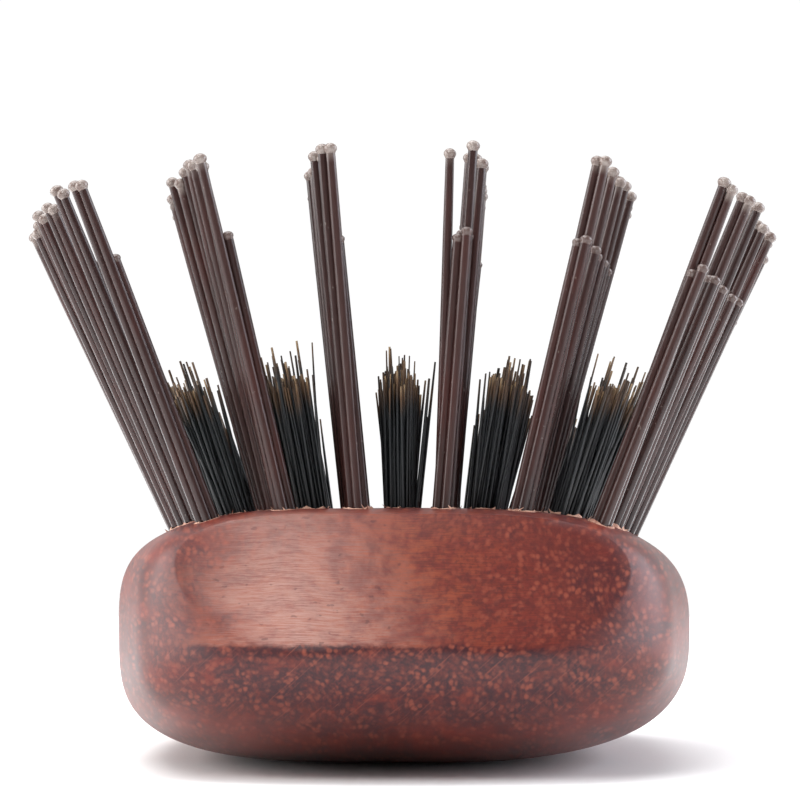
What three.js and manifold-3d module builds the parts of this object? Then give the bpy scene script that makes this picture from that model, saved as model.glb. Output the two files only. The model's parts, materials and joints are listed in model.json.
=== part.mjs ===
// Wooden hair brush lying on its back with the bristles up. Millimetres, +Z up.
// The nose of the head points to -Y and the handle to +Y. The floor is z = 0.
// Head and handle are one piece of wood. Six lengthwise rows of nylon tufts and five
// rows of short boar tufts stand in blind holes and fan out from the middle line.
// A distance along the brush is measured from the nose.

import * as THREE from "three";
import { ParametricGeometry } from "three/addons/geometries/ParametricGeometry.js";
import { mergeVertices } from "three/addons/utils/BufferGeometryUtils.js";
import Module from "manifold-3d";

const wasm = await Module();
wasm.setup();

// Driving dimensions of the wood.
const LENGTH = 213;
const NOSE_RUN = 40;            // from the nose to the full thickness of the head
const NOSE_OUTLINE_RUN = 12;    // rounding of the nose seen from above
const NOSE_OUTLINE_POWER = 2.5;
const NOSE_TOP_POWER = 8;       // tight edge between nose face and top face
const NOSE_BELLY_POWER = 2.4;   // easy curve from the nose face to the back
// The face sanded on the nose: a shallow barrel that leans back as it rises.
const FACE_FOOT = 10.6;
const FACE_SETBACK = 0.35;
const FACE_LEAN = 0.4;
const FACE_RADIUS = 70;
const END_RUN = 14;             // rounded end of the handle
const END_POWER = 2.3;

// Shape of the wood: [distance, value]. Heights are from the floor, and 0.2 mm of the
// back is sanded flat where it rests.
const HALF_WIDTHS = [[0, 19.6], [9.5, 21.3], [20, 23.2], [31, 24.7], [42, 25.2], [58, 25],
  [70, 23.8], [82, 18], [94, 10.2], [106, 7.6], [124, 8.6], [150, 11.2], [188, 9.9],
  [213, 8.6]];
const TOP_HEIGHTS = [[40, 21.6], [66, 21.5], [80, 20.4], [96, 17.6], [114, 17.2],
  [152, 18.4], [190, 16.4], [213, 14.8]];
const BACK_HEIGHTS = [[40, -0.2], [62, 0], [78, 1.2], [96, 3.4], [114, 3.5],
  [152, 1.2], [184, -0.2], [213, -0.2]];
const MID_HEIGHTS = [[40, 11.3], [66, 11.2], [96, 10.5], [114, 10.35], [152, 9.8],
  [190, 8.1], [213, 7.3]];
// Squareness of the cross-section: 2 is an ellipse, more is squarer.
const TOP_POWERS = [[0, 3.8], [40, 3.2], [70, 3.1], [100, 2.3], [213, 2.3]];
const BACK_POWERS = [[0, 3.1], [70, 3.1], [100, 2.3], [213, 2.3]];
// The head is shaped by hand: its left side is a little squarer than its right.
const HAND_SHAPING = [[0, 0.3], [70, 0.25], [95, 0], [213, 0]];

// Driving dimensions of the bristles.
const RANK_COUNT = 12;
const FIRST_RANK = 9.5;
const RANK_PITCH = 5.4;
const BOAR_STAGGER = RANK_PITCH / 2;
const EDGE_MARGIN = 5.6;        // outer row to the edge of the wood
const FAN_DEPTH = 41;           // the tufts point away from a line this far below them
// Places of the rows across the head, as drilled by hand: 1 is the edge margin's line.
const NYLON_ROWS = [-1.02, -0.62, -0.24, 0.2, 0.6, 1.01];
const BOAR_ROWS = [-0.85, -0.46, -0.02, 0.4, 0.81];
const SECTIONS = ["front", "middle", "rear"];
const NYLON_LONG = 29.5;
const NYLON_SHORT = 22.5;
const NYLON_RADIUS = 1;
const LONG_PAIR_ACROSS = 0.65;
const LONG_PAIR_ALONG = 1;
const LONG_PAIR_OFFSET = 0.37;
const BOAR_LENGTH = 11;
const BOAR_ROOT_RADIUS = 0.9;
const BOAR_TIP_RADIUS = 1.35;
const NYLON_HOLE_RADIUS = 1.3;
const BOAR_HOLE_RADIUS = 1.4;
const ROOT_DEPTH = 7.5;
const STRIP_DEPTH = 6.9;        // the strip that joins the roots of one section
const STRIP_WIDTH = 0.5;
const STRIP_HEIGHT = 0.5;
const CLEARANCE = 0.3;
const TUFT_SIDES = 6;
const HOLE_RUN_OUT = 2.5;       // the drill starts this far above the surface
const JOIN = 1;                 // overlap of two solids that are joined

// Facets of the wood.
const SECTION_SIDES = 24;
const NOSE_STEPS = 8;
const MAIN_STEPS = 17;
const END_STEPS = 5;

// A smooth curve through points, read at a distance.
function smoothCurve(points) {
  const last = points.length - 1;
  const slopeAt = (k) => {
    if (k === 0 || k === last) {
      return 0;
    }
    return (points[k + 1][1] - points[k - 1][1]) / (points[k + 1][0] - points[k - 1][0]);
  };
  return (distance) => {
    let k = 0;
    while (k < last - 1 && distance > points[k + 1][0]) {
      k += 1;
    }
    const [startAt, startValue] = points[k];
    const [endAt, endValue] = points[k + 1];
    const run = endAt - startAt;
    const t = THREE.MathUtils.clamp((distance - startAt) / run, 0, 1);
    const rise = (endValue - startValue) * t * t * (3 - 2 * t);
    const lead = slopeAt(k) * run * t * (1 - t) * (1 - t);
    const trail = slopeAt(k + 1) * run * t * t * (1 - t);
    return startValue + rise + lead - trail;
  };
}

const outlineBehind = smoothCurve(HALF_WIDTHS);
const topBehind = smoothCurve(TOP_HEIGHTS);
const backBehind = smoothCurve(BACK_HEIGHTS);
const midBehind = smoothCurve(MID_HEIGHTS);
const topPower = smoothCurve(TOP_POWERS);
const backPower = smoothCurve(BACK_POWERS);
const handShaping = smoothCurve(HAND_SHAPING);

// Growth of a rounded end, from 0 at its tip to 1 where it is full.
function roundedEnd(fromTip, run, power) {
  const left = THREE.MathUtils.clamp(1 - fromTip / run, 0, 1);
  return Math.pow(1 - Math.pow(left, power), 1 / power);
}

// Size and squareness of the cross-section at a distance from the nose.
function sectionAt(distance) {
  const end = roundedEnd(LENGTH - distance, END_RUN, END_POWER);
  const mid = midBehind(distance);
  const topGrowth = roundedEnd(distance, NOSE_RUN, NOSE_TOP_POWER) * end;
  const backGrowth = roundedEnd(distance, NOSE_RUN, NOSE_BELLY_POWER) * end;
  return {
    halfWidth: outlineBehind(distance) * end
      * roundedEnd(distance, NOSE_OUTLINE_RUN, NOSE_OUTLINE_POWER),
    mid,
    rise: (topBehind(distance) - mid) * topGrowth,
    drop: (mid - backBehind(distance)) * backGrowth,
    topPower: topPower(distance),
    backPower: backPower(distance),
    shaping: handShaping(distance),
  };
}

// Height of the top face at a place on the head.
function topHeight(distance, x) {
  const section = sectionAt(distance);
  const power = section.topPower - Math.sign(x) * section.shaping;
  const across = Math.abs(x) / section.halfWidth;
  return section.mid + section.rise * Math.pow(1 - Math.pow(across, power), 1 / power);
}

function alongY(distance) {
  return distance - LENGTH / 2;
}

// Where the nose's sanded face lies along the brush.
function facePlace(x, z) {
  const bow = (x * x) / (2 * FACE_RADIUS);
  return alongY(FACE_SETBACK + FACE_LEAN * (z - FACE_FOOT) + bow);
}

// Stations along the brush: close together at the nose and at the end of the handle.
function stationDistances() {
  const stations = [];
  const noseReach = 16;
  for (let i = 0; i < NOSE_STEPS; i += 1) {
    stations.push(noseReach * Math.pow(i / NOSE_STEPS, 2.6));
  }
  const mainRun = LENGTH - END_RUN - noseReach;
  for (let i = 0; i < MAIN_STEPS; i += 1) {
    stations.push(noseReach + (mainRun * i) / MAIN_STEPS);
  }
  for (let i = 0; i <= END_STEPS; i += 1) {
    stations.push(LENGTH - END_RUN * (1 - Math.sin((i / END_STEPS) * (Math.PI / 2))));
  }
  return stations;
}

function solidFrom(geometry) {
  geometry.deleteAttribute("normal");
  geometry.deleteAttribute("uv");
  const merged = mergeVertices(geometry, 1e-4);
  return new wasm.Manifold(new wasm.Mesh({
    numProp: 3,
    vertProperties: Float32Array.from(merged.attributes.position.array),
    triVerts: Uint32Array.from(merged.index.array),
  }));
}

function geometryFrom(solid) {
  const mesh = solid.getMesh();
  const geometry = new THREE.BufferGeometry();
  geometry.setAttribute("position", new THREE.BufferAttribute(mesh.vertProperties, 3));
  geometry.setIndex(new THREE.BufferAttribute(mesh.triVerts, 1));
  geometry.computeVertexNormals();
  return geometry;
}

function joined(solids) {
  return solids.reduce((whole, piece) => whole.add(piece));
}

// The wood without its holes, lofted from nose to handle end.
function blankSolid() {
  const stations = stationDistances();
  const lastStation = stations.length - 1;
  const surface = (u, v, target) => {
    const distance = stations[Math.round(v * lastStation)];
    const section = sectionAt(distance);
    const angle = -u * Math.PI * 2;
    const across = Math.abs(Math.cos(angle)) < 1e-9 ? 0 : Math.cos(angle);
    const up = Math.abs(Math.sin(angle)) < 1e-9 ? 0 : Math.sin(angle);
    const squareness = up > 0 ? section.topPower : section.backPower;
    const power = squareness - Math.sign(across) * section.shaping;
    const x = section.halfWidth * Math.sign(across) * Math.pow(Math.abs(across), 2 / power);
    const height = Math.pow(Math.abs(up), 2 / power);
    const z = section.mid + (up > 0 ? section.rise * height : -section.drop * height);
    target.set(x, Math.max(alongY(distance), facePlace(x, z)), Math.max(0, z));
  };
  return solidFrom(new ParametricGeometry(surface, SECTION_SIDES, lastStation));
}

// A bar in the tuft's own frame, from one height to another. Two of its sides face
// along the brush, towards the strips of its neighbours.
function bar(fromHeight, toHeight, bottomRadius, topRadius) {
  const length = toHeight - fromHeight;
  const geometry = new THREE.CylinderGeometry(topRadius, bottomRadius, length, TUFT_SIDES, 1,
    false, Math.PI / TUFT_SIDES);
  geometry.rotateX(Math.PI / 2);
  geometry.translate(0, 0, fromHeight + length / 2);
  return geometry;
}

// The frame of one tuft: on the surface, with +Z along the tuft.
function tuftFrame(rowPlace, distance) {
  const x = rowPlace * (sectionAt(distance).halfWidth - EDGE_MARGIN);
  const lean = Math.atan(x / FAN_DEPTH);
  const base = new THREE.Vector3(x, alongY(distance), topHeight(distance, x));
  const turn = new THREE.Quaternion().setFromAxisAngle(new THREE.Vector3(0, 1, 0), lean);
  return new THREE.Matrix4().compose(base, turn, new THREE.Vector3(1, 1, 1));
}

function nylonTuft(frame, outward) {
  const stem = bar(-ROOT_DEPTH, NYLON_SHORT, NYLON_RADIUS, NYLON_RADIUS);
  const longPairLength = NYLON_LONG - NYLON_SHORT + JOIN;
  const longPair = new THREE.BoxGeometry(LONG_PAIR_ACROSS, LONG_PAIR_ALONG, longPairLength);
  longPair.translate(outward * LONG_PAIR_OFFSET, 0, NYLON_LONG - longPairLength / 2);
  return joined([stem, longPair].map((shape) => solidFrom(shape.applyMatrix4(frame))));
}

function boarTuft(frame) {
  const tuft = bar(-ROOT_DEPTH, BOAR_LENGTH, BOAR_ROOT_RADIUS, BOAR_TIP_RADIUS);
  return solidFrom(tuft.applyMatrix4(frame));
}

// A flat strip from root to root, made wider all round by a clearance for its groove.
// It tilts across the brush as its tufts do.
function stripSolids(frames, clearance) {
  const roots = frames.map((frame) => new THREE.Vector3(0, 0, -STRIP_DEPTH).applyMatrix4(frame));
  return roots.slice(1).map((root, i) => {
    const along = root.clone().sub(roots[i]);
    const geometry = new THREE.BoxGeometry(STRIP_WIDTH + 2 * clearance, along.length(),
      STRIP_HEIGHT + 2 * clearance);
    const middle = root.clone().add(roots[i]).multiplyScalar(0.5);
    const turn = new THREE.Quaternion().setFromUnitVectors(new THREE.Vector3(0, 1, 0),
      along.normalize());
    geometry.applyQuaternion(new THREE.Quaternion().setFromRotationMatrix(frames[i]));
    geometry.applyQuaternion(turn);
    geometry.translate(middle.x, middle.y, middle.z);
    return solidFrom(geometry);
  });
}

// Blind holes and root grooves of one section.
function sectionCut(frames, radius) {
  const holes = frames.map((frame) => {
    const hole = bar(-ROOT_DEPTH - CLEARANCE, HOLE_RUN_OUT, radius, radius);
    return solidFrom(hole.applyMatrix4(frame));
  });
  return joined([...holes, ...stripSolids(frames, CLEARANCE)]);
}

function sectionSolid(frames, makeTuft) {
  return joined([...frames.map(makeTuft), ...stripSolids(frames, 0)]);
}

// The ranks of a section, as distances from the nose.
function sectionRanks(section, stagger) {
  const perSection = RANK_COUNT / SECTIONS.length;
  const firstRank = SECTIONS.indexOf(section) * perSection;
  return Array.from({ length: perSection },
    (_, i) => FIRST_RANK + stagger + (firstRank + i) * RANK_PITCH);
}

const group = new THREE.Group();

function addPiece(name, solid, colour, roughness) {
  const material = new THREE.MeshStandardMaterial({ color: colour, roughness, metalness: 0 });
  const mesh = new THREE.Mesh(geometryFrom(solid), material);
  mesh.name = name;
  group.add(mesh);
}

const cuts = [];

NYLON_ROWS.forEach((rowPlace, row) => {
  SECTIONS.forEach((section) => {
    const frames = sectionRanks(section, 0).map((rank) => tuftFrame(rowPlace, rank));
    const outward = Math.sign(rowPlace);
    const solid = sectionSolid(frames, (frame) => nylonTuft(frame, outward));
    addPiece(`nylon_row_${row + 1}_${section}`, solid, 0x4b3a38, 0.35);
    cuts.push(sectionCut(frames, NYLON_HOLE_RADIUS));
  });
});

BOAR_ROWS.forEach((rowPlace, row) => {
  SECTIONS.forEach((section) => {
    const frames = sectionRanks(section, BOAR_STAGGER).map((rank) => tuftFrame(rowPlace, rank));
    addPiece(`boar_row_${row + 1}_${section}`, sectionSolid(frames, boarTuft), 0x1b1c1e, 0.6);
    cuts.push(sectionCut(frames, BOAR_HOLE_RADIUS));
  });
});

addPiece("brush_body", blankSolid().subtract(joined(cuts)), 0x7c3a2e, 0.4);

export default group;
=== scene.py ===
"""Wooden hair brush with fanned rows of nylon and boar tufts.

The file is laid out as an add-on and run as a script. The wood is one lofted piece with
blind holes. Geometry Nodes grow the nylon legs and the boar bristles out of the holes.
Shapes are worked out in millimetres and placed in metres, in the frame's axes: the nose
of the head points to -Y, the handle to +Y, and the bristles to +Z.
"""

import json
import math
import random

import bmesh
import bpy
import numpy as np
from bpy.props import FloatProperty, FloatVectorProperty, IntProperty, PointerProperty
from mathutils import Matrix, Vector, noise

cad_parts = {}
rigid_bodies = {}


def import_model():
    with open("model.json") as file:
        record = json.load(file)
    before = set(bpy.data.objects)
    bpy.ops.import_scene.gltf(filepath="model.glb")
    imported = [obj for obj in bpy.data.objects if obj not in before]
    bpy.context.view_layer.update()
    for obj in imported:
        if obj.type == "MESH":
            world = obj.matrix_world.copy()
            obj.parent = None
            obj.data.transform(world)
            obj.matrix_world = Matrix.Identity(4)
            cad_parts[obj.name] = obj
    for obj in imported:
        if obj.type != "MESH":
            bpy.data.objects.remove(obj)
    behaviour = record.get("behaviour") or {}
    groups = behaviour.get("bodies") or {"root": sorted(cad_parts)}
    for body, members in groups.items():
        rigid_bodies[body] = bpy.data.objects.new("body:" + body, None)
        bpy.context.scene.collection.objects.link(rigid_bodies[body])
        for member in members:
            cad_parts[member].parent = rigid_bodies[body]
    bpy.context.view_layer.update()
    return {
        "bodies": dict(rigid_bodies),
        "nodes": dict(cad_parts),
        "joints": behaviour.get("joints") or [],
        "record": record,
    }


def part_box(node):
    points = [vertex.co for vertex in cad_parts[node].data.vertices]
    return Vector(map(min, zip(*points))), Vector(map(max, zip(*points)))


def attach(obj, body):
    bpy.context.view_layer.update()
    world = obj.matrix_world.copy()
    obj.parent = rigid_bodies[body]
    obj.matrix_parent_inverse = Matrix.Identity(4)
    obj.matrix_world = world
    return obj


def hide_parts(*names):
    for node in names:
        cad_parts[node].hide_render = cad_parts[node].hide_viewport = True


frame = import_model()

bl_info = {
    "name": "Wooden Hair Brush",
    "version": (1, 0, 0),
    "blender": (4, 5, 0),
    "location": "View3D > Sidebar > Brush",
    "description": "Builds a wooden hair brush with nylon and boar tufts, and its studio",
    "category": "Add Mesh",
}

MM = 0.001
FLOOR_RADIUS = 0.7
BODY = "root"
WOOD_NODE = "brush_body"
WOOD_LOW, WOOD_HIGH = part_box(WOOD_NODE)
LENGTH = (WOOD_HIGH[1] - WOOD_LOW[1]) / MM
NOSE_Y = WOOD_LOW[1] / MM

# The wood: [distance from the nose, value] in millimetres.
HALF_WIDTHS = [(0, 19.6), (9.5, 21.3), (20, 23.2), (31, 24.7), (42, 25.2), (58, 25),
               (70, 23.8), (82, 18), (94, 10.2), (106, 7.6), (124, 8.6), (150, 11.2),
               (188, 9.9), (213, 8.6)]
TOP_HEIGHTS = [(40, 21.6), (66, 21.5), (80, 20.4), (96, 17.6), (114, 17.2),
               (152, 18.4), (190, 16.4), (213, 14.8)]
BACK_HEIGHTS = [(40, -0.2), (62, 0), (78, 1.2), (96, 3.4), (114, 3.5),
                (152, 1.2), (184, -0.2), (213, -0.2)]
MID_HEIGHTS = [(40, 11.3), (66, 11.2), (96, 10.5), (114, 10.35), (152, 9.8),
               (190, 8.1), (213, 7.3)]
# Squareness of the cross-section: 2 is an ellipse, more is squarer.
TOP_POWERS = [(0, 3.8), (40, 3.2), (70, 3.1), (100, 2.3), (213, 2.3)]
BACK_POWERS = [(0, 3.1), (70, 3.1), (100, 2.3), (213, 2.3)]
HAND_SHAPING = [(0, 0.3), (70, 0.25), (95, 0), (213, 0)]
NOSE_RUN = 40
NOSE_OUTLINE_RUN = 12
NOSE_OUTLINE_POWER = 2.5
NOSE_TOP_POWER = 8
NOSE_BELLY_POWER = 2.4
# The face sanded on the nose: a shallow barrel that leans back as it rises.
FACE_FOOT = 10.6
FACE_SETBACK = 0.06
FACE_LEAN = 0.4
FACE_RADIUS = 55
FACE_MIDDLE = 14.5
EDGE_SOFTNESS = 0.35
SIDE_SOFTNESS = 1.3
EDGE_STEPS = (0, 0.2, 0.45, 0.8, 1.3, 1.9)
FACE_REACH = 16.0
FACE_HALVINGS = 30
# Where the soft edge widens: to the sides, and near the top to a share of that.
SIDE_START = 9
TOP_START = 17
TOP_RUN = 4
TOP_SHARE = 0.7
END_RUN = 14
END_POWER = 2.3
# The grid of the wood's skin: its sides, and its rings from nose to end.
WOOD_SIDES = 168
FACE_RINGS = 14
NOSE_RINGS = 36
MAIN_RINGS = 140
END_RINGS = 16
NOSE_REACH = 20
# Unevenness of the sanding: (lumps per millimetre, height in millimetres).
SWELLS = ((0.11, 0.07), (0.4, 0.015))
SWELL_HEIGHT = 11
SWELL_RINGS = 30

# The bristles, in millimetres.
RANK_COUNT = 12
FIRST_RANK = 9.5
RANK_PITCH = 5.4
BOAR_STAGGER = RANK_PITCH / 2
EDGE_MARGIN = 5.6
FAN_DEPTH = 41
LEG_PACKING = 1.3
NYLON_ROWS = (-1.02, -0.62, -0.24, 0.2, 0.6, 1.01)
BOAR_ROWS = (-0.85, -0.46, -0.02, 0.4, 0.81)
SECTIONS = ("front", "middle", "rear")
HOLE_DEPTH = 7.8
HOLE_RUN_OUT = 3.0


# ---- Shape of the wood

def smooth_curve(points):
    """A smooth curve through points, read at one distance or at an array of them."""
    places, values = np.array(points, float).T
    slopes = np.zeros_like(values)
    slopes[1:-1] = (values[2:] - values[:-2]) / (places[2:] - places[:-2])

    def read(distance):
        at = np.clip(distance, places[0], places[-1])
        k = np.clip(np.searchsorted(places, at) - 1, 0, len(places) - 2)
        run = places[k + 1] - places[k]
        t = (at - places[k]) / run
        rise = (values[k + 1] - values[k]) * t * t * (3 - 2 * t)
        lead = slopes[k] * run * t * (1 - t) ** 2
        trail = slopes[k + 1] * run * t * t * (1 - t)
        return values[k] + rise + lead - trail

    return read


half_width_behind = smooth_curve(HALF_WIDTHS)
top_behind = smooth_curve(TOP_HEIGHTS)
back_behind = smooth_curve(BACK_HEIGHTS)
mid_height = smooth_curve(MID_HEIGHTS)
top_power = smooth_curve(TOP_POWERS)
back_power = smooth_curve(BACK_POWERS)
hand_shaping = smooth_curve(HAND_SHAPING)


def rounded_end(from_tip, run, power):
    """Growth of a rounded end, from 0 at its tip to 1 where it is full."""
    left = np.clip(1 - from_tip / run, 0, 1)
    return (1 - left ** power) ** (1 / power)


def half_width(distance):
    """Half the width of the wood at a distance from the nose."""
    nose = rounded_end(distance, NOSE_OUTLINE_RUN, NOSE_OUTLINE_POWER)
    return half_width_behind(distance) * nose * rounded_end(LENGTH - distance, END_RUN, END_POWER)


def grown(height, distance, nose_power):
    """A height of the section, as it grows out of the nose and the end of the handle."""
    growth = rounded_end(distance, NOSE_RUN, nose_power)
    return height * (growth * rounded_end(LENGTH - distance, END_RUN, END_POWER))


def top_rise(distance):
    """Height of the top line above the widest line."""
    return grown(top_behind(distance) - mid_height(distance), distance, NOSE_TOP_POWER)


def back_drop(distance):
    """Depth of the back below the widest line."""
    return grown(mid_height(distance) - back_behind(distance), distance, NOSE_BELLY_POWER)


def wood_surface(distance, angle):
    """Points of the wood's skin, for arrays of distance and angle round the section."""
    across, up = np.cos(angle), np.sin(angle)
    above = up > 0
    power = np.where(above, top_power(distance), back_power(distance))
    power = power - np.sign(across) * hand_shaping(distance)
    x = half_width(distance) * np.sign(across) * np.abs(across) ** (2 / power)
    height = np.abs(up) ** (2 / power)
    mid = mid_height(distance)
    z = mid + np.where(above, top_rise(distance), -back_drop(distance)) * height
    return np.stack([x, NOSE_Y + distance, z], axis=-1)


def face_place(points):
    """How far along the brush the nose's sanded face lies, at each point's X and Z."""
    x, z = points[..., 0], points[..., 2]
    bow = x ** 2 / (2 * FACE_RADIUS)
    return NOSE_Y + FACE_SETBACK + FACE_LEAN * (z - FACE_FOOT) + bow


def face_edge(angles):
    """The distance from the nose at which the wood comes out of its sanded face."""
    low, high = np.zeros_like(angles), np.full_like(angles, FACE_REACH)
    for _ in range(FACE_HALVINGS):
        middle = (low + high) / 2
        points = wood_surface(middle, angles)
        cut = points[..., 1] < face_place(points)
        low, high = np.where(cut, middle, low), np.where(cut, high, middle)
    return low


def top_height(distance, x):
    """Height of the top face at a place on the head."""
    power = top_power(distance) - math.copysign(1, x) * hand_shaping(distance) * (x != 0)
    across = abs(x) / half_width(distance)
    return mid_height(distance) + top_rise(distance) * (1 - across ** power) ** (1 / power)


def tuft_frame(row_place, distance):
    """The frame of one tuft: on the wood's top face, with +Z along the tuft."""
    x = row_place * (half_width(distance) - EDGE_MARGIN)
    place = Vector((x, NOSE_Y + distance, top_height(distance, x)))
    return Matrix.Translation(place) @ Matrix.Rotation(math.atan(x / FAN_DEPTH), 4, "Y")


def row_frames(row_place, stagger):
    """The frames of a row of tufts, from nose to handle."""
    return [tuft_frame(row_place, FIRST_RANK + stagger + rank * RANK_PITCH)
            for rank in range(RANK_COUNT)]


# ---- Node trees

def arithmetic(operation, swapped=False):
    """A method that adds a Math node for a wire and one more value, if it has one."""
    def method(self, *other):
        values = (*other, self) if swapped else (self, *other)
        return self.tree.maths(operation, *values)

    return method


class Wire:
    """A node's output. Arithmetic on it adds Math nodes to its tree."""

    __add__ = __radd__ = arithmetic("ADD")
    __mul__ = __rmul__ = arithmetic("MULTIPLY")
    __sub__ = arithmetic("SUBTRACT")
    __rsub__ = arithmetic("SUBTRACT", swapped=True)
    __truediv__ = arithmetic("DIVIDE")
    __pow__ = arithmetic("POWER")
    __abs__ = arithmetic("ABSOLUTE")
    above = arithmetic("GREATER_THAN")
    highest = arithmetic("MAXIMUM")
    lowest = arithmetic("MINIMUM")

    def __init__(self, tree, made, socket):
        self.tree = tree
        self.made = made
        self.socket = socket

    def output(self, name):
        return Wire(self.tree, self.made, Tree.socket(self.made.outputs, name))

    def between(self, low, high):
        """0 below low, 1 above high, and a smooth step from one to the other."""
        return self.tree.node("ShaderNodeMapRange", {0: self, 1: low, 2: high, 3: 0.0, 4: 1.0},
                              interpolation_type="SMOOTHSTEP")


class Tree:
    """A node tree that is filled by writing expressions."""

    def __init__(self, tree):
        self.tree = tree

    def node(self, kind, inputs=None, **settings):
        """One node: its type, the values or wires of its sockets, then its settings."""
        made = self.tree.nodes.new(kind)
        for name, value in settings.items():
            setattr(made, name, value)
        for key, value in (inputs or {}).items():
            socket = self.socket(made.inputs, key)
            if isinstance(value, Wire):
                self.tree.links.new(value.socket, socket)
            else:
                socket.default_value = value
        return Wire(self, made, self.socket(made.outputs) if made.outputs else None)

    @staticmethod
    def socket(sockets, key=None):
        """The socket in use with that name or number, or the first one in use."""
        if isinstance(key, int):
            return sockets[key]
        return next(s for s in sockets if s.enabled and key in (None, s.name))

    def maths(self, operation, *values):
        return self.node("ShaderNodeMath", dict(enumerate(values)), operation=operation)

    def vector(self, operation, *values):
        return self.node("ShaderNodeVectorMath", dict(enumerate(values)), operation=operation)

    def total(self, first, *others):
        """The sum of some vectors."""
        for other in others:
            first = self.vector("ADD", first, other)
        return first

    def scaled(self, vector, amount):
        return self.node("ShaderNodeVectorMath", {"Vector": vector, "Scale": amount},
                         operation="SCALE")


class Shader(Tree):
    """A material's tree, with the patterns that the finishes share."""

    def __init__(self, name):
        self.material = bpy.data.materials.new(name)
        self.material.use_nodes = True
        super().__init__(self.material.node_tree)
        self.tree.nodes.clear()

    def millimetres(self):
        """The piece's own coordinates, in millimetres."""
        place = self.node("ShaderNodeTexCoord").output("Object")
        return self.scaled(place, 1 / MM)

    def noise(self, place, stretch, detail=2.0, roughness=0.5):
        """Noise whose lumps are one over the stretch wide, in millimetres along each axis."""
        return self.node("ShaderNodeTexNoise", {
            "Vector": self.vector("MULTIPLY", place, stretch), "Scale": 1.0, "Detail": detail,
            "Roughness": roughness})

    def cells(self, place, stretch):
        return self.node("ShaderNodeTexVoronoi", {
            "Vector": self.vector("MULTIPLY", place, stretch), "Scale": 1.0})

    def attribute(self, name):
        return self.node("ShaderNodeAttribute", attribute_name=name).output("Fac")

    def mix(self, factor, first, second):
        """Colour first where factor is 0 and second where it is 1."""
        return self.node("ShaderNodeMix", {"Factor": factor, "A": colour(first),
                                           "B": colour(second)}, data_type="RGBA")

    def layered(self, base, *layers):
        """Colours laid over a base, each as (factor, colour)."""
        for factor, tone in layers:
            base = self.mix(factor, base, tone)
        return base

    def bump(self, height, strength, distance):
        """A bump from a height of 0 to 1 that stands for distance in millimetres."""
        return self.node("ShaderNodeBump", {
            "Strength": strength, "Distance": distance * MM, "Height": height})

    def finish(self, **inputs):
        """The surface shader, with its sockets set by name."""
        named = {key.replace("_", " "): value for key, value in inputs.items()}
        surface = self.node("ShaderNodeBsdfPrincipled", named)
        self.node("ShaderNodeOutputMaterial", {"Surface": surface})
        return self.material


def colour(value):
    """A colour with its alpha, or a wire as it is."""
    if isinstance(value, Wire):
        return value
    return (*tuple(value)[:3], 1.0)


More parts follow.
